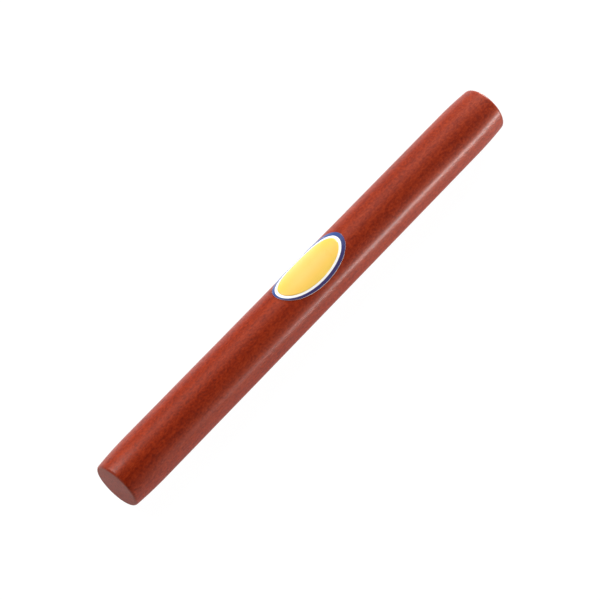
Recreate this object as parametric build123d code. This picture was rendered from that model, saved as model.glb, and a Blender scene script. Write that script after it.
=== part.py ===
from build123d import *
import math
import os

# A plain turned hardwood stick with an oval label wrapped round its barrel.
# All lengths are in millimetres and all angles in degrees.
# The stick lies along X on the plane z = 0, centred on the origin.

# Driving dimensions of the stick
STICK_LENGTH = 256.0
STICK_DIAMETER = 25.4
EASE_LENGTH = 19.2  # how far the soft taper runs in from each end face
EASE_DEPTH = 0.9  # what the taper takes off the radius at the end face
RIM_ROUND = 1.25  # round between the taper and the flat end face

# Driving dimensions of the label, measured flat
LABEL_LENGTH = 43.7
LABEL_WIDTH = 23.8
WINDOW_LENGTH = 40.5  # the white oval that the blue border leaves open
WINDOW_WIDTH = 19.9
FIELD_LENGTH = 37.6  # the yellow oval inside the white one
FIELD_WIDTH = 17.9

# Where the label sits
LABEL_ALONG = 5.1  # from the stick's middle towards +X
LABEL_TURN = 17.5  # from straight up towards +Y
PRINT_ALONG = 4.45  # the print is off the label's own centre towards -X
PRINT_TURN = 16.0

# Thickness of each layer of the label, from the wood outwards
ADHESIVE_THICKNESS = 0.03
FILM_THICKNESS = 0.10
INK_THICKNESS = 0.02

# Worked out from the driving dimensions
STICK_RADIUS = STICK_DIAMETER / 2
HALF_LENGTH = STICK_LENGTH / 2
BARREL_HALF = HALF_LENGTH - EASE_LENGTH
END_RADIUS = STICK_RADIUS - EASE_DEPTH
FILM_INNER = STICK_RADIUS + ADHESIVE_THICKNESS
FILM_OUTER = FILM_INNER + FILM_THICKNESS
INK_OUTER = FILM_OUTER + INK_THICKNESS

OUTLINE_POINTS = 16  # points on the spline of each oval


def stick():
    """The turned stick: a straight barrel that eases down to a small rounded rim at each flat end."""
    barrel = Line((-BARREL_HALF, STICK_RADIUS), (BARREL_HALF, STICK_RADIUS))
    far_ease = TangentArc((BARREL_HALF, STICK_RADIUS), (HALF_LENGTH, END_RADIUS), tangent=(1, 0))
    near_ease = TangentArc((-BARREL_HALF, STICK_RADIUS), (-HALF_LENGTH, END_RADIUS), tangent=(-1, 0))
    far_face = Line((HALF_LENGTH, END_RADIUS), (HALF_LENGTH, 0))
    near_face = Line((-HALF_LENGTH, END_RADIUS), (-HALF_LENGTH, 0))
    middle = Line((-HALF_LENGTH, 0), (HALF_LENGTH, 0))
    turned = revolve(make_face(near_face + near_ease + barrel + far_ease + far_face + middle), Axis.X)
    rims = turned.edges().filter_by(GeomType.CIRCLE).filter_by(is_rim)
    return fillet(rims, RIM_ROUND)


def is_rim(edge):
    """Whether a circular edge is the corner between a taper and an end face."""
    return abs(abs(edge.center().X) - HALF_LENGTH) < 0.01


def oval(length, width, radius):
    """The shadow, seen from straight above, of a flat oval bent round a cylinder of this radius."""
    steps = [2 * math.pi * step / OUTLINE_POINTS for step in range(OUTLINE_POINTS)]
    across = width / 2 / radius
    points = [(length / 2 * math.cos(a), radius * math.sin(across * math.sin(a))) for a in steps]
    return make_face(Spline(*points, periodic=True))


def tube(inner, outer):
    """A round shell about the X axis, as long as the label and some more."""
    whole = Cylinder(outer, 2 * LABEL_LENGTH, rotation=(0, 90, 0))
    return whole - Cylinder(inner, 3 * LABEL_LENGTH, rotation=(0, 90, 0))


def bent_oval(length, width, inner, outer, along, turn):
    """An oval patch of a round shell, centred at this distance along X and turned this far about it."""
    cutter = extrude(oval(length, width, inner), amount=2 * STICK_DIAMETER)
    patch = tube(inner, outer) & cutter
    return Pos(along, 0, 0) * Rot(-turn, 0, 0) * patch


def label_adhesive():
    """The film of adhesive between the wood and the label."""
    return bent_oval(
        LABEL_LENGTH, LABEL_WIDTH, STICK_RADIUS, FILM_INNER, LABEL_ALONG, LABEL_TURN
    )


def label_film():
    """The white plastic film that carries the print."""
    return bent_oval(LABEL_LENGTH, LABEL_WIDTH, FILM_INNER, FILM_OUTER, LABEL_ALONG, LABEL_TURN)


def label_blue_border():
    """The blue ink round the edge of the label, open inside where the film shows white."""
    covered = bent_oval(LABEL_LENGTH, LABEL_WIDTH, FILM_OUTER, INK_OUTER, LABEL_ALONG, LABEL_TURN)
    window = bent_oval(
        WINDOW_LENGTH, WINDOW_WIDTH, FILM_INNER, INK_OUTER + 1, PRINT_ALONG, PRINT_TURN
    )
    return covered - window


def label_yellow_field():
    """The yellow ink oval in the middle of the label."""
    return bent_oval(FIELD_LENGTH, FIELD_WIDTH, FILM_OUTER, INK_OUTER, PRINT_ALONG, PRINT_TURN)


PIECES = {
    "wooden_stick": stick,
    "label_adhesive": label_adhesive,
    "label_film": label_film,
    "label_blue_border": label_blue_border,
    "label_yellow_field": label_yellow_field,
}

os.makedirs("parts", exist_ok=True)
for name, make in PIECES.items():
    export_step(Pos(0, 0, STICK_RADIUS) * make(), f"parts/{name}.step")
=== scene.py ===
"""A turned hardwood stick with an oval label wrapped round it, on a pale studio floor.

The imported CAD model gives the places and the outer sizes. Each sub-assembly below is a
class that builds smooth meshes round that frame by geometry nodes and gives them finishes
made of shader nodes. Lengths are in metres, and MM turns millimetres into them.
"""

import logging
import math
from dataclasses import dataclass, field
from enum import Enum
from typing import Any, Union

import bpy
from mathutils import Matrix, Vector


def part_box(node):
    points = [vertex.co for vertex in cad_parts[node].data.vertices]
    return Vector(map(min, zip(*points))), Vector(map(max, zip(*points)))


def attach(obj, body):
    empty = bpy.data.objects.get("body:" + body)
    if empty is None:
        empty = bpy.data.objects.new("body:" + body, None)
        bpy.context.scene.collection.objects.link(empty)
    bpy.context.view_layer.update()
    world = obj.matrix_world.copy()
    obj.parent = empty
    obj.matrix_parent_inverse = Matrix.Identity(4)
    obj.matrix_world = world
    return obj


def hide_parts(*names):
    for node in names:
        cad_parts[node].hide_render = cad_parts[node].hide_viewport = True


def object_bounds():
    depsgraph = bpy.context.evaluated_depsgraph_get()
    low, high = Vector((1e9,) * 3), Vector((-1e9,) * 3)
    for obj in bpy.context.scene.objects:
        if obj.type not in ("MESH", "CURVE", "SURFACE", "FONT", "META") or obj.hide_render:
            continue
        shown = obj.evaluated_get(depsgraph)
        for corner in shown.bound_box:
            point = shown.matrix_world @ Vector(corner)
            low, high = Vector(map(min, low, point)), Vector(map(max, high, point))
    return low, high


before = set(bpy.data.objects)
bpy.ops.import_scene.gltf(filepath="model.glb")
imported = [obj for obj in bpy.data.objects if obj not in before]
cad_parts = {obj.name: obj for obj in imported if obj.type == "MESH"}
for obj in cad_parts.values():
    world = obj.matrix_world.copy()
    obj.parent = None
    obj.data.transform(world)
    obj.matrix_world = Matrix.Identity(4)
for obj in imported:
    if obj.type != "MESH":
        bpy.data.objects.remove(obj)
CAD_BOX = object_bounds()

MM = 0.001
FULL_TURN = 2 * math.pi
LOG = logging.getLogger("stick")

Colour = tuple[float, float, float]
Triple = tuple[float, float, float]
Span = tuple[float, float]
Socket = bpy.types.NodeSocket
WHITE = (1.0, 1.0, 1.0, 1.0)


# ---------------------------------------------------------------- node trees


class Number:
    """A number inside a node tree that plain sums can be written with."""

    def __init__(self, plan: "Plan", socket: Socket) -> None:
        """Wrap a socket.

        Args:
            plan: The tree that the socket belongs to.
            socket: The output socket that holds the number.
        """
        self.plan = plan
        self.socket = socket

    def work(self, operation: str, *terms: "Term") -> "Number":
        """Work one Math node out.

        Args:
            operation: The Math node's operation.
            *terms: What the operation takes after this number.

        Returns:
            The result.
        """
        sockets = dict(enumerate((self, *terms)))
        made = self.plan.node("ShaderNodeMath", sockets, operation=operation)
        return Number(self.plan, made.outputs[0])

    def __add__(self, other: "Term") -> "Number":
        """This number plus another."""
        return self.work("ADD", other)

    def __sub__(self, other: "Term") -> "Number":
        """This number less another."""
        return self.work("SUBTRACT", other)

    def __rsub__(self, other: float) -> "Number":
        """A plain number less this one."""
        return (self * -1.0) + other

    def __mul__(self, other: "Term") -> "Number":
        """This number times another."""
        return self.work("MULTIPLY", other)

    def __truediv__(self, other: "Term") -> "Number":
        """This number over another."""
        return self.work("DIVIDE", other)

    def sine(self) -> "Number":
        """The sine of this angle."""
        return self.work("SINE")

    def cosine(self) -> "Number":
        """The cosine of this angle."""
        return self.work("COSINE")

    def root(self) -> "Number":
        """The square root."""
        return self.work("SQRT")

    def size(self) -> "Number":
        """The number without its sign."""
        return self.work("ABSOLUTE")

    def sign(self) -> "Number":
        """Minus one, nought or one."""
        return self.work("SIGN")

    def smaller(self, other: "Term") -> "Number":
        """The smaller of two numbers."""
        return self.work("MINIMUM", other)

    def larger(self, other: "Term") -> "Number":
        """The larger of two numbers."""
        return self.work("MAXIMUM", other)

    def clamped(self) -> "Number":
        """The number kept between nought and one."""
        return self.larger(0.0).smaller(1.0)

    def ramp(self, start: "Term", end: "Term") -> "Number":
        """Nought up to start and one from end on, with a smooth rise between.

        Args:
            start: Where the rise begins, which may lie above end.
            end: Where it is over.

        Returns:
            The share, between nought and one.
        """
        sockets = {"Value": self, "From Min": start, "From Max": end}
        made = self.plan.node("ShaderNodeMapRange", sockets, interpolation_type="SMOOTHSTEP")
        return Number(self.plan, made.outputs["Result"])

    def mixed(self, low: "Term", high: "Term") -> "Number":
        """Low where this share is nought and high where it is one."""
        made = self.plan.node("ShaderNodeMapRange", {"Value": self, "To Min": low, "To Max": high})
        return Number(self.plan, made.outputs["Result"])


Term = Union[Number, float]


class Plan:
    """A node tree that is being drawn up, for geometry or for a finish."""

    def __init__(self, tree: bpy.types.NodeTree) -> None:
        """Take over an empty tree.

        Args:
            tree: The tree to add nodes to.
        """
        self.tree = tree
        self.inlet: bpy.types.Node | None = None

    def node(
        self, kind: str, sockets: dict[Any, Any] | None = None, **settings: Any
    ) -> bpy.types.Node:
        """Add a node.

        Args:
            kind: The node's type name.
            sockets: What goes into each input, by its place, identifier or name: a constant,
                a Number or an output socket.
            **settings: The node's own properties.

        Returns:
            The node.
        """
        made = self.tree.nodes.new(kind)
        for name, value in settings.items():
            setattr(made, name, value)
        for key, value in (sockets or {}).items():
            self.feed(self.inlet_of(made, key), value)
        return made

    @staticmethod
    def inlet_of(node: bpy.types.Node, key: int | str) -> Socket:
        """An input of a node by its place, identifier or name."""
        if isinstance(key, int):
            return node.inputs[key]
        return next((s for s in node.inputs if s.identifier == key), None) or node.inputs[key]

    def feed(self, inlet: Socket, value: Any) -> None:
        """Link a socket or a Number to an input, or set the input to a constant."""
        source = value.socket if isinstance(value, Number) else value
        if isinstance(source, Socket):
            self.tree.links.new(source, inlet)
        else:
            inlet.default_value = source

    def number(self, socket: Socket) -> Number:
        """Wrap an output socket as a Number of this tree."""
        return Number(self, socket)

    def given(self, name: str) -> Socket:
        """The socket that brings a named input of the group in."""
        self.inlet = self.inlet or self.node("NodeGroupInput")
        return self.inlet.outputs[name]

    def takes(self, name: str) -> Number:
        """A named input of the group, as a Number."""
        return self.number(self.given(name))

    def axes(self, vector: Socket) -> tuple[Number, Number, Number]:
        """The X, Y and Z of a vector."""
        parts = self.node("ShaderNodeSeparateXYZ", {0: vector})
        return tuple(self.number(parts.outputs[axis]) for axis in "XYZ")

    def vector(self, x: Term, y: Term, z: Term) -> Socket:
        """A vector out of three numbers."""
        return self.node("ShaderNodeCombineXYZ", {0: x, 1: y, 2: z}).outputs[0]

    def moved(
        self,
        vector: Socket,
        scale: Triple,
        turn: Triple = (0, 0, 0),
        by: Triple = (0, 0, 0),
    ) -> Socket:
        """A place that is scaled, then turned by degrees, then moved.

        Args:
            vector: The place.
            scale: The factor along each axis.
            turn: The turn about each axis, in degrees.
            by: The move along each axis.

        Returns:
            The new place.
        """
        angles = tuple(math.radians(angle) for angle in turn)
        sockets = {"Vector": vector, "Scale": scale, "Rotation": angles, "Location": by}
        return self.node("ShaderNodeMapping", sockets).outputs[0]

    def noise(
        self, vector: Any, scale: float, detail: float, seed: Term, roughness: float = 0.5
    ) -> bpy.types.Node:
        """A noise pattern whose fourth axis is its seed.

        Args:
            vector: The place that the pattern is read at.
            scale: Waves to one unit of length.
            detail: How many finer layers are added.
            seed: The fixed seed.
            roughness: How strong the finer layers are.

        Returns:
            The node, whose first output is the pattern's height.
        """
        sockets = {
            "Vector": vector,
            "W": seed,
            "Scale": scale,
            "Detail": detail,
            "Roughness": roughness,
        }
        return self.node("ShaderNodeTexNoise", sockets, noise_dimensions="4D")

    def height(self, *terms: Any, **settings: Any) -> Number:
        """The height of a noise pattern, as a Number."""
        return self.number(self.noise(*terms, **settings).outputs[0])

    @staticmethod
    def filled(colour: Any) -> Any:
        """A plain colour with a full alpha, or a socket as it is."""
        return (*colour, 1.0) if isinstance(colour, tuple) else colour

    def tinted(self, share: Term, first: Any, second: Any, blend: str = "MIX") -> Socket:
        """A colour between two colours.

        Args:
            share: How much of the second colour is laid over the first.
            first: The colour underneath.
            second: The colour on top.
            blend: How the second colour is laid over the first.

        Returns:
            The mixed colour.
        """
        sockets = {
            "Factor_Float": share,
            "A_Color": self.filled(first),
            "B_Color": self.filled(second),
        }
        made = self.node("ShaderNodeMix", sockets, data_type="RGBA", blend_type=blend)
        return next(s for s in made.outputs if s.identifier == "Result_Color")

    def shades(self, share: Term, stops: list[tuple[float, Colour]]) -> Socket:
        """A colour read off a row of shades.

        Args:
            share: The place along the row, from nought to one.
            stops: Each shade's place and colour, in order.

        Returns:
            The colour.
        """
        made = self.node("ShaderNodeValToRGB", {0: share})
        row = made.color_ramp.elements
        while len(row) < len(stops):
            row.new(1.0)
        for element, (place, colour) in zip(row, stops):
            element.position = place
            element.color = self.filled(colour)
        return made.outputs["Color"]


class ShapeTree(Plan):
    """A geometry node tree that makes one piece by a rule, with its sizes as named inputs."""

    SOCKETS = {
        float: "NodeSocketFloat",
        int: "NodeSocketInt",
        bpy.types.Material: "NodeSocketMaterial",
    }

    def __init__(self, name: str, inputs: dict[str, Any]) -> None:
        """Open a tree with a named input for each size.

        Args:
            name: The tree's name.
            inputs: Each input's name and the value that the piece gives it.
        """
        super().__init__(bpy.data.node_groups.new(name, "GeometryNodeTree"))
        self.name = name
        self.values = inputs
        self.tree.is_modifier = True
        face = self.tree.interface
        face.new_socket("Geometry", in_out="OUTPUT", socket_type="NodeSocketGeometry")
        for label, value in inputs.items():
            face.new_socket(label, in_out="INPUT", socket_type=self.SOCKETS[type(value)])

    def marked(self, geometry: Any, name: str, value: Any, kind: str = "FLOAT") -> Socket:
        """Store a value at every point of a geometry, for the finish to read.

        Args:
            geometry: The geometry's socket.
            name: The attribute's name.
            value: What it holds.
            kind: The attribute's data type.

        Returns:
            The geometry with the attribute.
        """
        sockets = {"Geometry": geometry, "Name": name}
        made = self.node("GeometryNodeStoreNamedAttribute", sockets, data_type=kind, domain="POINT")
        self.feed(next(s for s in made.inputs if s.name == "Value" and s.enabled), value)
        return made.outputs[0]

    def close(self, geometry: Socket) -> None:
        """End the tree: smooth faces, real instances and the piece's material.

        Args:
            geometry: The finished geometry's socket.
        """
        smooth = self.node("GeometryNodeSetShadeSmooth", {0: geometry}).outputs[0]
        real = self.node("GeometryNodeRealizeInstances", {0: smooth}).outputs[0]
        sockets = {"Geometry": real, "Material": self.given("Material")}
        dressed = self.node("GeometryNodeSetMaterial", sockets)
        self.node("NodeGroupOutput", {0: dressed.outputs[0]})

    def make(self, piece: str) -> bpy.types.Object:
        """Run the tree once and keep its result as a plain mesh.

        Args:
            piece: The name of the new object.

        Returns:
            The object, at the origin, with no modifier left.
        """
        made = bpy.data.objects.new(piece, bpy.data.meshes.new(piece))
        bpy.context.scene.collection.objects.link(made)
        modifier = made.modifiers.new(self.name, "NODES")
        modifier.node_group = self.tree
        for item in self.tree.interface.items_tree:
            if item.in_out == "INPUT":
                modifier[item.identifier] = self.values[item.name]
        graph = bpy.context.evaluated_depsgraph_get()
        mesh = bpy.data.meshes.new_from_object(made.evaluated_get(graph), depsgraph=graph)
        mesh.name = piece
        made.modifiers.remove(modifier)
        made.data = mesh
        return made


# ---------------------------------------------------------------- finishes


class Marks(Enum):
    """What the shared group of handling marks puts out."""

    SCRATCHES = "Scratches"
    DUST = "Dust"
    SMUDGE = "Smudge"


@dataclass(frozen=True)
class HandlingMarks:
    """The shader group that every finish takes its fine scratches, dust and smudges from.

    Its places are in millimetres, and each scale is in waves to a millimetre.
    """

    name: str = "Handling Marks"
    handled_scale: float = 0.11
    handled_span: Span = (0.45, 0.7)
    scratch_stretch: Triple = (0.05, 1.9, 1.9)
    scratch_turns: tuple[Triple, ...] = ((0, 12, 31), (8, -24, -17))
    scratch_span: Span = (0.012, 0.002)
    dust_scale: float = 0.9
    dust_lone_span: Span = (0.72, 0.8)
    dust_span: Span = (0.09, 0.05)
    smudge_scale: float = 0.16
    smudge_seed_step: float = 5.0

    def group(self) -> bpy.types.NodeTree:
        """The group, which is built once.

        Returns:
            The shader group, whose outputs are masks.
        """
        if self.name not in bpy.data.node_groups:
            self.build()
        return bpy.data.node_groups[self.name]

    def scratches(self, plan: Plan, place: Socket, seed: Number) -> Number:
        """Two sets of fine lines that cross.

        Args:
            plan: The group being drawn up.
            place: The place on the piece.
            seed: The seed of the finish's own marks.

        Returns:
            One on a line and nought off it.
        """
        lines = None
        for turn in self.scratch_turns:
            drawn = plan.height(plan.moved(place, self.scratch_stretch, turn), 1.0, 1.0, seed + turn[1])
            line = (drawn - 0.5).size().ramp(*self.scratch_span)
            lines = line if lines is None else lines.larger(line)
        return lines

    def dust(self, plan: Plan, place: Socket) -> Number:
        """Lone specks of dust.

        Args:
            plan: The group being drawn up.
            place: The place on the piece.

        Returns:
            One on a speck and nought off it.
        """
        specks = plan.node("ShaderNodeTexVoronoi", {"Vector": place, "Scale": self.dust_scale})
        lone = plan.axes(specks.outputs["Color"])[0].ramp(*self.dust_lone_span)
        return plan.number(specks.outputs["Distance"]).ramp(*self.dust_span) * lone

    def build(self) -> None:
        """Draw the group up."""
        plan = Plan(bpy.data.node_groups.new(self.name, "ShaderNodeTree"))
        face = plan.tree.interface
        face.new_socket("Place", in_out="INPUT", socket_type="NodeSocketVector")
        for label in ("Seed", "Scratch Amount", "Dust Amount"):
            face.new_socket(label, in_out="INPUT", socket_type="NodeSocketFloat")
        for mark in Marks:
            face.new_socket(mark.value, in_out="OUTPUT", socket_type="NodeSocketFloat")
        place, seed = plan.given("Place"), plan.takes("Seed")
        handled = plan.height(place, self.handled_scale, 2.0, seed).ramp(*self.handled_span)
        scratches = self.scratches(plan, place, seed) * handled
        smudge_seed = seed + self.smudge_seed_step
        plan.node("NodeGroupOutput", {
            Marks.SCRATCHES.value: scratches * plan.takes("Scratch Amount"),
            Marks.DUST.value: self.dust(plan, place) * plan.takes("Dust Amount"),
            Marks.SMUDGE.value: plan.height(place, self.smudge_scale, 3.0, smudge_seed),
        })


class Finish(Plan):
    """A material that is being drawn up, with its Principled shader and its handling marks."""

    def __init__(self, name: str, height: float) -> None:
        """Open a material.

        Args:
            name: The material's name.
            height: How far the stick's axis lies above the surface it rests on.
        """
        self.material = bpy.data.materials.new(name)
        self.material.use_nodes = True
        super().__init__(self.material.node_tree)
        self.tree.nodes.clear()
        self.shader = self.node("ShaderNodeBsdfPrincipled")
        self.node("ShaderNodeOutputMaterial", {"Surface": self.shader.outputs[0]})
        own = self.node("ShaderNodeTexCoord").outputs["Object"]
        self.place = self.moved(own, (1 / MM, 1 / MM, 1 / MM), by=(0, 0, -height / MM))

    def marks(self, seed: float, scratches: float, dust: float) -> dict[Marks, Number]:
        """Place the shared group of handling marks in this finish.

        Args:
            seed: The fixed seed of this finish's own marks.
            scratches: How strong the scratches are.
            dust: How strong the dust is.

        Returns:
            Each kind of mark as a Number.
        """
        made = self.node("ShaderNodeGroup")
        made.node_tree = HandlingMarks().group()
        values = {
            "Place": self.place,
            "Seed": seed,
            "Scratch Amount": scratches,
            "Dust Amount": dust,
        }
        for name, value in values.items():
            self.feed(made.inputs[name], value)
        return {mark: self.number(made.outputs[mark.value]) for mark in Marks}

    def stored(self, name: str) -> Number:
        """A value that the piece's own mesh holds."""
        made = self.node("ShaderNodeAttribute", attribute_name=name)
        return self.number(made.outputs["Fac"])

    def relief(self, height: Term, depth: float) -> Socket:
        """A surface normal out of a height.

        Args:
            height: The height, from nought to one.
            depth: What a height of one stands for.

        Returns:
            The normal.
        """
        sockets = {"Height": height, "Distance": depth, "Strength": 1.0}
        return self.node("ShaderNodeBump", sockets).outputs[0]

    def shine(self, **sockets: Any) -> bpy.types.Material:
        """Set the Principled shader's inputs.

        Args:
            **sockets: Each input by its name, with underscores for spaces.

        Returns:
            The finished material.
        """
        for name, value in sockets.items():
            self.feed(self.shader.inputs[name.replace("_", " ")], value)
        return self.material


@dataclass(frozen=True)
class PoreKind:
    """One kind of pore: its size in millimetres and the share of places that stay closed."""

    length: float
    width: float
    closed: float


@dataclass(frozen=True)
class Figure:
    """The wood's patterns inside one finish, each between nought and one."""

    fibre: Number
    mottle: Number
    speckle: Number
    ribbon: Number
    rings: Number
    pores: Number
    end: Number
    rim: Number
    wear_and_highlight: Number


@dataclass(frozen=True)
class HardwoodFinish:
    """Red-brown hardwood with fine pores under a thin satin lacquer."""

    # The shades of the wood itself and of what lies on it; the far end's tint is a painted sheen, and
    # the pale tint of the rim patches is partly a painted highlight.
    deep: Colour = (0.106, 0.0038, 0.0006)
    middle: Colour = (0.190, 0.0118, 0.0013)
    light: Colour = (0.266, 0.0240, 0.0036)
    pore: Colour = (0.050, 0.0045, 0.0012)
    end_dust: Colour = (0.170, 0.0800, 0.0700)
    rim_darkening: Colour = (0.060, 0.0140, 0.0080)
    grime_and_highlight: Colour = (0.26, 0.12, 0.09)
    far_end_painted_sheen: Colour = (1.05, 1.18, 1.30)

    # How the stick was cut from its trunk, in millimetres and degrees.
    pith: Span = (-31.0, -24.0)
    ring_spacing: float = 2.6
    late_wood_rise: Span = (0.1, 0.85)
    late_wood_fall: Span = (1.0, 0.88)
    lean: Triple = (0.0, 1.3, -2.2)
    drift: Triple = (0, 7, 7)

    # Each pattern's waves to a millimetre, along the grain and across it.
    drift_waves: Triple = (0.012, 0.045, 0.045)
    fibre_waves: Triple = (0.035, 2.4, 2.4)
    mottle_waves: Triple = (0.30, 0.55, 0.55)
    speckle_waves: Triple = (0.80, 1.15, 1.15)
    ribbon_waves: Triple = (0.010, 0.13, 0.13)
    pore_kinds: tuple[PoreKind, ...] = (PoreKind(4.2, 0.60, 0.30), PoreKind(1.9, 0.38, 0.45))
    pore_span: Span = (0.27, 0.13)
    wear_and_highlight_span: Span = (0.5, 0.72)
    seed: float = 11.0

    # How far each pattern lightens or darkens the wood.
    base_tone: float = 0.53
    fibre_tone: float = 0.4
    mottle_tone: float = 1.1
    speckle_tone: float = 1.1
    ribbon_tone: float = 0.5
    ring_tone: float = 0.07
    pore_share: float = 0.40
    end_dust_share: float = 0.30
    rim_darkening_share: float = 0.15
    wear_and_highlight_share: float = 0.25
    dust_share: float = 0.3

    # The gloss: the wood's own, the lacquer's, and what dulls them.
    figure_gloss: float = 0.5
    figure_tint: Colour = (1.0, 0.22, 0.07)
    roughness: float = 0.44
    smudge_roughness: float = 0.16
    pore_roughness: float = 0.12
    end_roughness: float = 0.12
    fibre_roughness: float = 0.1
    lacquer: float = 0.23
    lacquer_roughness: float = 0.27
    end_soaks_up: float = 0.75
    wear_takes_off: float = 0.6

    # The relief: each pattern's height, and the depth of a height of one.
    relief_depth: float = 0.045 * MM
    relief_level: float = 0.4
    fibre_relief: float = 0.12
    speckle_relief: float = 0.8
    pore_relief: float = 0.45
    scratch_relief: float = 0.12
    end_relief: float = 0.5

    def grown(self, plan: Finish) -> Socket:
        """The place inside the tree's own trunk, leaning a little off the stick and wavering.

        Args:
            plan: The finish being drawn up.

        Returns:
            The place, in millimetres.
        """
        leaning = plan.moved(plan.place, (1, 1, 1), self.lean)
        drift = plan.noise(plan.moved(leaning, self.drift_waves), 1.0, 2.0, self.seed)
        sockets = {0: drift.outputs["Color"], 1: (0.5, 0.5, 0.5)}
        centred = plan.node("ShaderNodeVectorMath", sockets, operation="SUBTRACT")
        sockets = {0: centred.outputs[0], 1: self.drift, 2: leaning}
        return plan.node("ShaderNodeVectorMath", sockets, operation="MULTIPLY_ADD").outputs[0]

    def rings(self, plan: Finish, grown: Socket) -> Number:
        """The year rings: a slow rise to dark late wood and a quick fall.

        Args:
            plan: The finish being drawn up.
            grown: The place in the trunk.

        Returns:
            How far towards late wood each place is.
        """
        _, y, z = plan.axes(grown)
        aside, above = y - self.pith[0], z - self.pith[1]
        age = (aside * aside + above * above).root() / self.ring_spacing
        year = age.work("FRACT")
        return year.ramp(*self.late_wood_rise) * year.ramp(*self.late_wood_fall)

    def pores(self, plan: Finish, grown: Socket) -> Number:
        """The pores: dark dashes along the grain, which an end face cuts into dots.

        Args:
            plan: The finish being drawn up.
            grown: The place in the trunk.

        Returns:
            One in a pore and nought between pores.
        """
        found = None
        for kind in self.pore_kinds:
            scaled = plan.moved(grown, (1 / kind.length, 1 / kind.width, 1 / kind.width))
            cells = plan.node("ShaderNodeTexVoronoi", {"Vector": scaled, "Scale": 1.0})
            open_cell = plan.axes(cells.outputs["Color"])[0].ramp(kind.closed, kind.closed + 0.1)
            pore = plan.number(cells.outputs["Distance"]).ramp(*self.pore_span) * open_cell
            found = pore if found is None else found.larger(pore)
        return found

    def figure(self, plan: Finish) -> Figure:
        """Draw up all the patterns of the wood.

        Args:
            plan: The finish being drawn up.

        Returns:
            The patterns.
        """
        grown = self.grown(plan)

        def pattern(waves: Triple, detail: float, step: int, **settings: Any) -> Number:
            """One noise pattern that follows the grain, with its own seed."""
            return plan.height(plan.moved(grown, waves), 1.0, detail, self.seed + step, **settings)

        rim = plan.stored("rim")
        mottle = pattern(self.mottle_waves, 4.0, 2, roughness=0.75)
        return Figure(
            fibre=pattern(self.fibre_waves, 4.0, 1, roughness=0.7),
            mottle=mottle,
            speckle=pattern(self.speckle_waves, 1.0, 4),
            ribbon=pattern(self.ribbon_waves, 2.0, 3),
            rings=self.rings(plan, grown),
            pores=self.pores(plan, grown),
            end=plan.stored("end_face"),
            rim=rim,
            # Pale patches on the rim: partly wear, partly a painted highlight of the rounded rim.
            wear_and_highlight=rim * mottle.ramp(*self.wear_and_highlight_span),
        )

    def colour(self, plan: Finish, wood: Figure, dust: Number, half_length: float) -> Socket:
        """The colour of the wood with its pores, its end grain, darker rims and its wear, with painted
        light: a paler far end and pale rim patches that are partly a painted highlight.

        Args:
            plan: The finish being drawn up.
            wood: The wood's patterns.
            dust: Where dust lies.
            half_length: Half the stick's length.

        Returns:
            The colour.
        """
        tone = (wood.fibre - 0.5) * self.fibre_tone + (wood.mottle - 0.5) * self.mottle_tone
        tone = tone + (wood.speckle - 0.5) * self.speckle_tone
        tone = tone + (wood.ribbon - 0.5) * self.ribbon_tone
        tone = tone + self.base_tone - wood.rings * self.ring_tone
        shade = plan.shades(tone, [(0.15, self.deep), (0.5, self.middle), (0.9, self.light)])
        shade = plan.tinted(wood.pores * self.pore_share, shade, self.pore)
        # Painted sheen: the wood turns paler towards the far end, where the lamps' sheen on it is
        # brighter.
        along = plan.axes(plan.place)[0].ramp(-half_length / MM, half_length / MM)
        shade = plan.tinted(along, shade, self.far_end_painted_sheen, "MULTIPLY")
        shade = plan.tinted(wood.end * self.end_dust_share, shade, self.end_dust)
        # The rounded rims are made darker.
        shade = plan.tinted(wood.rim * self.rim_darkening_share, shade, self.rim_darkening)
        # Pale tint on the rim patches, partly wear and partly painted highlight, and on the dust
        # specks.
        grime_and_highlight_amount = wood.wear_and_highlight * self.wear_and_highlight_share + dust * self.dust_share
        return plan.tinted(grime_and_highlight_amount, shade, self.grime_and_highlight)

    def material(self, height: float, half_length: float) -> bpy.types.Material:
        """Draw the finish up.

        Args:
            height: How far the stick's axis lies above the surface it rests on.
            half_length: Half the stick's length.

        Returns:
            The material.
        """
        plan = Finish("Lacquered Hardwood", height)
        wood = self.figure(plan)
        marks = plan.marks(self.seed, 0.8, 0.5)
        rough = marks[Marks.SMUDGE] * self.smudge_roughness + wood.pores * self.pore_roughness
        rough = rough + wood.end * self.end_roughness + wood.fibre * self.fibre_roughness
        left = (1.0 - wood.end * self.end_soaks_up) * (1.0 - wood.wear_and_highlight * self.wear_takes_off)
        relief = wood.fibre * self.fibre_relief + wood.speckle * self.speckle_relief
        relief = relief - wood.pores * self.pore_relief
        relief = relief - marks[Marks.SCRATCHES] * self.scratch_relief
        relief = relief - wood.end * wood.mottle * self.end_relief
        return plan.shine(
            Base_Color=self.colour(plan, wood, marks[Marks.DUST], half_length),
            Roughness=rough + self.roughness,
            Coat_Weight=left * self.lacquer,
            Coat_Roughness=self.lacquer_roughness,
            Specular_IOR_Level=self.figure_gloss,
            Specular_Tint=plan.filled(self.figure_tint),
            Normal=plan.relief(relief + self.relief_level, self.relief_depth),
        )


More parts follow.
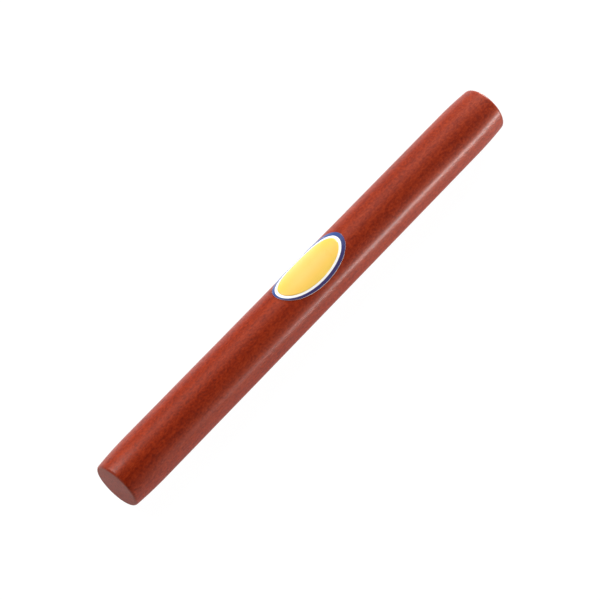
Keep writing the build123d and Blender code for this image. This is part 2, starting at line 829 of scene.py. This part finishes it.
@dataclass(frozen=True)
class FilmFinish:
    """Glossy plastic film or ink, with a tint towards its rim and a second one across it, on its lower
    side, which is painted light and shade.
    """

    name: str
    middle: Colour
    rim: Colour
    # The lower side's tint is painted light and shade.
    lower_painted_light: Colour
    seed: float
    print_dot: float = 0.0
    dot_pitch: float = 0.24 * MM
    rim_span: Span = (0.35, 1.0)
    lower_painted_light_span: Span = (2.0 * MM, -9.0 * MM)
    patch_share: float = 0.10
    dust_share: float = 0.25
    dust: Colour = (0.55, 0.50, 0.45)
    roughness: float = 0.21
    smudge_roughness: float = 0.18
    scratch_roughness: float = 0.2
    own_gloss: float = 0.2
    gloss: float = 0.20
    gloss_roughness: float = 0.24
    relief_depth: float = 0.03 * MM
    relief_level: float = 0.3
    smudge_relief: float = 0.5
    scratch_relief: float = 0.15

    def colour(self, plan: Finish, smudge: Number, dust: Number) -> Socket:
        """The colour of the film, with its rim tint, a painted light and shade tint on its lower side,
        its print dots, its patches and its dust.

        Args:
            plan: The finish being drawn up.
            smudge: Where the film is smudged.
            dust: Where dust lies.

        Returns:
            The colour.
        """
        flat = plan.node("ShaderNodeAttribute", attribute_name="flat_place")
        along, across, _ = plan.axes(flat.outputs["Vector"])
        outwards = plan.stored("toward_rim")
        colour = plan.tinted(outwards.ramp(*self.rim_span), self.middle, self.rim)
        # Painted light and shade: each layer's lower side gets its own tint, which lightens the yellow
        # against the shade there and darkens the blue as painted shade.
        colour = plan.tinted(across.ramp(*self.lower_painted_light_span), colour, self.lower_painted_light)
        pitch = FULL_TURN / self.dot_pitch
        dots = (along * pitch).sine() * (across * pitch).sine() * self.print_dot
        patch = (smudge - 0.5) * self.patch_share + dots + 1.0
        tone = plan.node("ShaderNodeCombineColor", {0: patch, 1: patch, 2: patch}).outputs[0]
        colour = plan.tinted(1.0, colour, tone, "MULTIPLY")
        return plan.tinted(dust * self.dust_share, colour, self.dust)

    def material(self, height: float) -> bpy.types.Material:
        """Draw the finish up.

        Args:
            height: How far the stick's axis lies above the surface it rests on.

        Returns:
            The material.
        """
        plan = Finish(self.name, height)
        marks = plan.marks(self.seed, 0.6, 0.4)
        smudge, scratches = marks[Marks.SMUDGE], marks[Marks.SCRATCHES]
        rough = smudge * self.smudge_roughness + scratches * self.scratch_roughness
        relief = smudge * self.smudge_relief - scratches * self.scratch_relief
        return plan.shine(
            Base_Color=self.colour(plan, smudge, marks[Marks.DUST]),
            Roughness=rough + self.roughness,
            Coat_Weight=self.gloss,
            Coat_Roughness=self.gloss_roughness,
            Specular_IOR_Level=self.own_gloss,
            Normal=plan.relief(relief + self.relief_level, self.relief_depth),
        )


# ---------------------------------------------------------------- the stick


@dataclass
class TurnedStick:
    """The stick: a straight barrel that eases down to a rounded rim at each flat end."""

    finish: HardwoodFinish = field(default_factory=HardwoodFinish)
    ease_length: float = 19.2 * MM
    ease_depth: float = 0.9 * MM
    rim_round: float = 1.25 * MM
    waver: float = 0.05 * MM
    waver_along: float = 40.0
    waver_round: float = 1.1
    rim_band: Span = (0.7, 1.0)
    end_band: Span = (0.45, 1.0)
    seed: float = 3.0
    points_around: int = 224
    steps_along: int = 240
    rings_on_end: int = 14
    barrel_share: float = 0.75
    ease_share: float = 1 / 6

    def __post_init__(self) -> None:
        """Read the length, the diameter and the axis off the CAD stick."""
        low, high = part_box("wooden_stick")
        self.length = high.x - low.x
        self.diameter = high.z - low.z
        self.axis_height = (high.z + low.z) / 2

    def tree(self) -> ShapeTree:
        """The rule that turns a plain unit cylinder into the stick.

        Returns:
            The tree, ready to be run.
        """
        height = self.axis_height
        plan = ShapeTree("Turned Stick", {
            "Length": self.length,
            "Diameter": self.diameter,
            "Ease Length": self.ease_length,
            "Ease Depth": self.ease_depth,
            "Rim Round": self.rim_round,
            "Axis Height": height,
            "Waver": self.waver,
            "Seed": self.seed,
            "Points Around": self.points_around,
            "Steps Along": self.steps_along,
            "Rings On End": self.rings_on_end,
            "Material": self.finish.material(height, self.length / 2),
        })
        blank = plan.node("GeometryNodeMeshCylinder", {
            "Vertices": plan.given("Points Around"),
            "Side Segments": plan.given("Steps Along"),
            "Fill Segments": plan.given("Rings On End"),
            "Radius": 1.0,
            "Depth": 2.0,
        }, fill_type="TRIANGLE_FAN")
        across, up, along = plan.axes(plan.node("GeometryNodeInputPosition").outputs[0])
        depth, rim = plan.takes("Ease Depth"), plan.takes("Rim Round")
        ease, radius = plan.takes("Ease Length"), plan.takes("Diameter") / 2
        barrel = plan.takes("Length") / 2 - ease
        bend = (ease * ease + depth * depth) / (depth * 2)
        slope = (ease - rim) / bend
        ease_run = ease - rim + rim * slope.sine()

        step = along.size()
        on_barrel = (step / self.barrel_share).clamped()
        on_ease = ((step - self.barrel_share) / self.ease_share).clamped()
        before_rim = self.barrel_share + self.ease_share
        on_rim = ((step - before_rim) / (1 - before_rim)).clamped()
        lean = on_rim.mixed(slope, math.pi / 2)
        eased = on_ease * ease_run
        x = on_barrel * barrel + eased + rim * (lean.sine() - slope.sine())
        r = radius - eased * eased / (bend * 2) - rim * (slope.cosine() - lean.cosine())
        signed, around = x * along.sign(), self.waver_round
        scaled = plan.vector(signed * self.waver_along, across * around, up * around)
        r = r - plan.height(scaled, 1.0, 1.0, plan.takes("Seed")) * plan.takes("Waver")
        place = plan.vector(signed, across * r, up * r + plan.takes("Axis Height"))

        inwards = (across * across + up * up).root()
        rim_share = on_rim * inwards.ramp(*self.rim_band)
        turned = plan.marked(blank.outputs["Mesh"], "rim", rim_share)
        turned = plan.marked(turned, "end_face", on_rim.ramp(*self.end_band))
        sockets = {"Geometry": turned, "Position": place}
        plan.close(plan.node("GeometryNodeSetPosition", sockets).outputs[0])
        return plan

    def build(self) -> bpy.types.Object:
        """Make the stick's mesh and let it stand for the CAD stick.

        Returns:
            The piece.
        """
        piece = self.tree().make("turned_hardwood_stick")
        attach(piece, "root")
        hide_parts("wooden_stick")
        return piece


# ---------------------------------------------------------------- the label


@dataclass(frozen=True)
class Oval:
    """An oval on the barrel, measured flat and placed by its centre."""

    length: float
    width: float
    along: float
    turn: float


@dataclass(frozen=True)
class Layer:
    """One layer of the label: which CAD node it stands for, where it lies and its finish."""

    piece: str
    node: str
    slot: str
    inner_radius: float
    thickness: float
    outline: Oval
    hole: Oval
    finish: FilmFinish


@dataclass
class WrappedLabel:
    """The label: adhesive, white film, a blue border and a yellow field, from the wood outwards."""

    barrel_radius: float
    axis_height: float
    edge: Oval = Oval(43.7 * MM, 23.8 * MM, 5.1 * MM, 17.5)
    window: Oval = Oval(40.5 * MM, 19.9 * MM, 4.45 * MM, 16.0)
    field_print: Oval = Oval(37.6 * MM, 17.9 * MM, 4.45 * MM, 16.0)
    adhesive_thickness: float = 0.03 * MM
    film_thickness: float = 0.10 * MM
    ink_thickness: float = 0.02 * MM
    ripple: float = 0.03 * MM
    ripple_along: float = 130.0
    ripple_round: float = 1.6
    weld: float = 0.001 * MM
    seed: float = 7.0
    points_around: int = 240
    rings_across: int = 24

    def layers(self) -> list[Layer]:
        """The four layers from the wood outwards.

        Returns:
            The layers, each lying on the one before it.
        """
        film_inner = self.barrel_radius + self.adhesive_thickness
        ink_inner = film_inner + self.film_thickness
        shut = [Oval(0.0, 0.0, oval.along, oval.turn) for oval in (self.edge, self.field_print)]
        adhesive = FilmFinish(
            name="Clear Adhesive",
            middle=(0.62, 0.55, 0.42),
            rim=(0.50, 0.43, 0.32),
            lower_painted_light=(0.55, 0.48, 0.36),
            seed=21.0,
            gloss=0.1,
        )
        film = FilmFinish(
            name="White Label Film",
            middle=(0.88, 0.88, 0.87),
            rim=(0.86, 0.86, 0.85),
            lower_painted_light=(0.87, 0.86, 0.84),
            seed=22.0,
        )
        blue = FilmFinish(
            name="Blue Ink",
            middle=(0.035, 0.070, 0.22),
            rim=(0.035, 0.065, 0.20),
            lower_painted_light=(0.045, 0.036, 0.12),
            seed=23.0,
        )
        yellow = FilmFinish(
            name="Yellow Ink",
            middle=(0.80, 0.455, 0.114),
            rim=(0.80, 0.465, 0.085),
            lower_painted_light=(0.80, 0.53, 0.103),
            seed=24.0,
            print_dot=0.02,
        )
        return [
            Layer(
                "label_glue_layer", "label_adhesive", "clear_adhesive",
                self.barrel_radius, self.adhesive_thickness, self.edge, shut[0], adhesive,
            ),
            Layer(
                "label_white_film", "label_film", "white_label_film",
                film_inner, self.film_thickness, self.edge, shut[0], film,
            ),
            Layer(
                "label_blue_print", "label_blue_border", "blue_ink",
                ink_inner, self.ink_thickness, self.edge, self.window, blue,
            ),
            Layer(
                "label_yellow_print", "label_yellow_field", "yellow_ink",
                ink_inner, self.ink_thickness, self.field_print, shut[1], yellow,
            ),
        ]

    def tree(self, layer: Layer) -> ShapeTree:
        """The rule that bends a flat oval ring, or a whole oval, round the barrel.

        Args:
            layer: The layer to make.

        Returns:
            The tree, ready to be run.
        """
        sizes = {
            f"{which} {name}": value
            for which, oval in (("Outline", layer.outline), ("Hole", layer.hole))
            for name, value in (
                ("Length", oval.length),
                ("Width", oval.width),
                ("Along", oval.along),
                ("Turn", math.radians(oval.turn)),
            )
        }
        plan = ShapeTree("Bent Oval " + layer.piece, {
            **sizes,
            "Inner Radius": layer.inner_radius,
            "Thickness": layer.thickness,
            "Axis Height": self.axis_height,
            "Ripple": self.ripple,
            "Seed": self.seed,
            "Points Around": self.points_around,
            "Rings Across": self.rings_across,
            "Material": layer.finish.material(self.axis_height),
        })
        rings = plan.takes("Rings Across")
        loop = rings * 2 + 2
        sheet = plan.node("GeometryNodeMeshGrid", {
            "Size X": 1.0,
            "Size Y": 1.0,
            "Vertices X": plan.takes("Points Around") + 1,
            "Vertices Y": loop + 1,
        })
        place_x, place_y, _ = plan.axes(plan.node("GeometryNodeInputPosition").outputs[0])
        angle = (place_x + 0.5) * FULL_TURN
        step = ((place_y + 0.5) * loop).work("ROUND")
        outwards = (step / rings).smaller((rings * 2 + 1 - step) / rings).clamped()
        on_top = step.work("LESS_THAN", rings + 0.5) + step.work("GREATER_THAN", loop - 0.5)
        inner = plan.takes("Inner Radius")
        ends = []
        for which in ("Hole", "Outline"):
            half_long = plan.takes(which + " Length") / 2
            half_wide = plan.takes(which + " Width") / 2
            ends.append((
                plan.takes(which + " Along") + half_long * angle.cosine(),
                plan.takes(which + " Turn") + half_wide * angle.sine() / inner,
            ))
        along = outwards.mixed(ends[0][0], ends[1][0])
        turn = outwards.mixed(ends[0][1], ends[1][1])
        scaled = plan.vector(along * self.ripple_along, turn * self.ripple_round, 0.0)
        wave = plan.height(scaled, 1.0, 1.0, plan.takes("Seed")).clamped()
        radius = inner + plan.takes("Thickness") * on_top + plan.takes("Ripple") * wave
        height = radius * turn.cosine() + plan.takes("Axis Height")
        place = plan.vector(along, radius * turn.sine(), height)
        flat = plan.vector(
            along - plan.takes("Outline Along"), (turn - plan.takes("Outline Turn")) * inner, 0.0
        )
        marked = plan.marked(sheet.outputs["Mesh"], "toward_rim", outwards)
        marked = plan.marked(marked, "flat_place", flat, "FLOAT_VECTOR")
        sockets = {"Geometry": marked, "Position": place}
        bent = plan.node("GeometryNodeSetPosition", sockets).outputs[0]
        sockets = {"Geometry": bent, "Distance": self.weld}
        whole = plan.node("GeometryNodeMergeByDistance", sockets).outputs[0]
        faces = plan.node("GeometryNodeInputMeshEdgeNeighbors").outputs[0]
        loose = plan.number(faces).work("LESS_THAN", 0.5)
        sockets = {"Geometry": whole, "Selection": loose}
        clean = plan.node("GeometryNodeDeleteGeometry", sockets, domain="EDGE", mode="EDGE_FACE")
        plan.close(clean.outputs[0])
        return plan

    def build(self) -> list[bpy.types.Object]:
        """Make every layer and let it stand for its CAD node.

        Returns:
            The pieces, from the wood outwards.
        """
        pieces = []
        for layer in self.layers():
            piece = self.tree(layer).make(layer.piece)
            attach(piece, "root")
            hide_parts(layer.node)
            pieces.append(piece)
        return pieces


# ---------------------------------------------------------------- the studio


def direction(azimuth: float, elevation: float) -> Vector:
    """A direction from the object.

    Args:
        azimuth: Degrees round from +X towards +Y.
        elevation: Degrees above the horizon.

    Returns:
        The unit vector.
    """
    round_z, up = math.radians(azimuth), math.radians(elevation)
    level = math.cos(up)
    return Vector((math.cos(round_z) * level, math.sin(round_z) * level, math.sin(up)))


@dataclass(frozen=True)
class Softbox:
    """A soft lamp that stands round the object, in degrees and metres, and faces it."""

    name: str
    azimuth: float
    elevation: float
    distance: float
    width: float
    height: float
    watts: float

    def build(self, aim: Vector) -> bpy.types.Object:
        """Hang the lamp.

        Args:
            aim: The point it faces.

        Returns:
            The lamp.
        """
        lamp = bpy.data.lights.new(self.name, "AREA")
        lamp.shape = "RECTANGLE"
        lamp.size, lamp.size_y = self.width, self.height
        lamp.energy = self.watts
        made = bpy.data.objects.new(self.name, lamp)
        away = direction(self.azimuth, self.elevation)
        made.location = aim + away * self.distance
        made.rotation_mode = "QUATERNION"
        made.rotation_quaternion = away.to_track_quat("Z", "Y")
        made.visible_camera = False
        bpy.context.scene.collection.objects.link(made)
        return made


@dataclass
class Studio:
    """The pale floor, the soft lamps, the dim room and the camera."""

    floor_size: float = 12.0
    floor_colour: Colour = (0.68, 0.68, 0.68)
    floor_glow: float = 1.03
    glow_share: float = 0.93
    floor_roughness: float = 0.30
    bounce_glow: float = 0.45
    room_light: float = 0.01
    room_shade: float = 1.0
    lens: float = 162.87
    sensor_width: float = 36.0
    sight: Span = (0.01, 100.0)
    camera_azimuth: float = -139.46
    camera_elevation: float = 61.43
    camera_distance: float = 1226.5 * MM
    aim_offset: Triple = (-4.94 * MM, 0.10 * MM, -2.01 * MM)

    # Each lamp's name, azimuth, elevation, distance, width, height and watts.
    lamps: tuple[Softbox, ...] = (
        Softbox("key_softbox", 105.0, 50.0, 1.30, 0.60, 0.70, 17.0),
        Softbox("wide_softbox", 66.0, 55.0, 1.30, 1.00, 0.80, 3.4),
        Softbox("back_softbox", 100.0, 30.0, 1.30, 0.60, 0.40, 2.6),
        Softbox("side_softbox", 20.0, 14.0, 1.30, 0.50, 0.40, 21.0),
        Softbox("low_strip", -55.0, 2.3, 1.00, 0.52, 0.10, 10.2),
        Softbox("end_softbox", 180.0, 20.0, 1.20, 0.80, 0.60, 2.6),
    )

    def floor(self, height: float) -> bpy.types.Object:
        """Lay the floor.

        Args:
            height: The level of the floor.

        Returns:
            The floor.
        """
        half = self.floor_size / 2
        around = ((-half, -half), (half, -half), (half, half), (-half, half))
        corners = [(x, y, height) for x, y in around]
        mesh = bpy.data.meshes.new("floor")
        mesh.from_pydata(corners, [], [(0, 1, 2, 3)])
        made = bpy.data.objects.new("floor", mesh)
        bpy.context.scene.collection.objects.link(made)
        material = bpy.data.materials.new("Pale Floor")
        material.use_nodes = True
        plan = Plan(material.node_tree)
        plan.tree.nodes.clear()
        sockets = {"Base Color": plan.filled(self.floor_colour), "Roughness": self.floor_roughness}
        matt = plan.node("ShaderNodeBsdfPrincipled", sockets).outputs[0]
        sockets = {"Color": WHITE, "Strength": self.bounce_glow}
        bounce = plan.node("ShaderNodeEmission", sockets).outputs[0]
        sheet = plan.node("ShaderNodeAddShader", {0: matt, 1: bounce}).outputs[0]
        sockets = {"Color": WHITE, "Strength": self.floor_glow}
        glow = plan.node("ShaderNodeEmission", sockets).outputs[0]
        seen = plan.number(plan.node("ShaderNodeLightPath").outputs["Is Camera Ray"])
        lit = plan.node("ShaderNodeMixShader", {0: seen * self.glow_share, 1: sheet, 2: glow})
        plan.node("ShaderNodeOutputMaterial", {"Surface": lit.outputs[0]})
        mesh.materials.append(material)
        return made

    def room(self) -> None:
        """Fill the room with a dim even light that looks pale to the camera."""
        world = bpy.data.worlds.new("room")
        world.use_nodes = True
        plan = Plan(world.node_tree)
        plan.tree.nodes.clear()
        seen = plan.number(plan.node("ShaderNodeLightPath").outputs["Is Camera Ray"])
        sockets = {"Color": WHITE, "Strength": self.room_light}
        dim = plan.node("ShaderNodeBackground", sockets).outputs[0]
        sockets = {"Color": WHITE, "Strength": self.room_shade}
        pale = plan.node("ShaderNodeBackground", sockets).outputs[0]
        both = plan.node("ShaderNodeMixShader", {0: seen, 1: dim, 2: pale})
        plan.node("ShaderNodeOutputWorld", {"Surface": both.outputs[0]})
        bpy.context.scene.world = world

    def camera(self, middle: Vector) -> bpy.types.Object:
        """Stand the camera.

        Args:
            middle: The middle of the stick.

        Returns:
            The camera.
        """
        data = bpy.data.cameras.new("camera")
        data.lens = self.lens
        data.sensor_width = self.sensor_width
        data.clip_start, data.clip_end = self.sight
        made = bpy.data.objects.new("camera", data)
        away = direction(self.camera_azimuth, self.camera_elevation)
        made.location = middle + Vector(self.aim_offset) + away * self.camera_distance
        made.rotation_mode = "QUATERNION"
        made.rotation_quaternion = away.to_track_quat("Z", "Y")
        bpy.context.scene.collection.objects.link(made)
        bpy.context.scene.camera = made
        return made

    def build(self, middle: Vector) -> None:
        """Set the whole studio up.

        Args:
            middle: The middle of the stick.
        """
        self.floor(CAD_BOX[0].z)
        for lamp in self.lamps:
            lamp.build(middle)
        self.room()
        self.camera(middle)
        bpy.context.scene.view_settings.view_transform = "Standard"


def report(piece: bpy.types.Object) -> None:
    """Log a finished piece's name and number of faces."""
    LOG.info("%s: %d faces", piece.name, len(piece.data.polygons))


def main() -> None:
    """Build the stick, its label and the studio, in that order."""
    logging.basicConfig(level=logging.INFO, format="%(message)s")
    stick = TurnedStick()
    report(stick.build())
    label = WrappedLabel(barrel_radius=stick.diameter / 2, axis_height=stick.axis_height)
    for piece in label.build():
        report(piece)
    Studio().build(Vector((0.0, 0.0, stick.axis_height)))


if __name__ == "__main__":
    main()
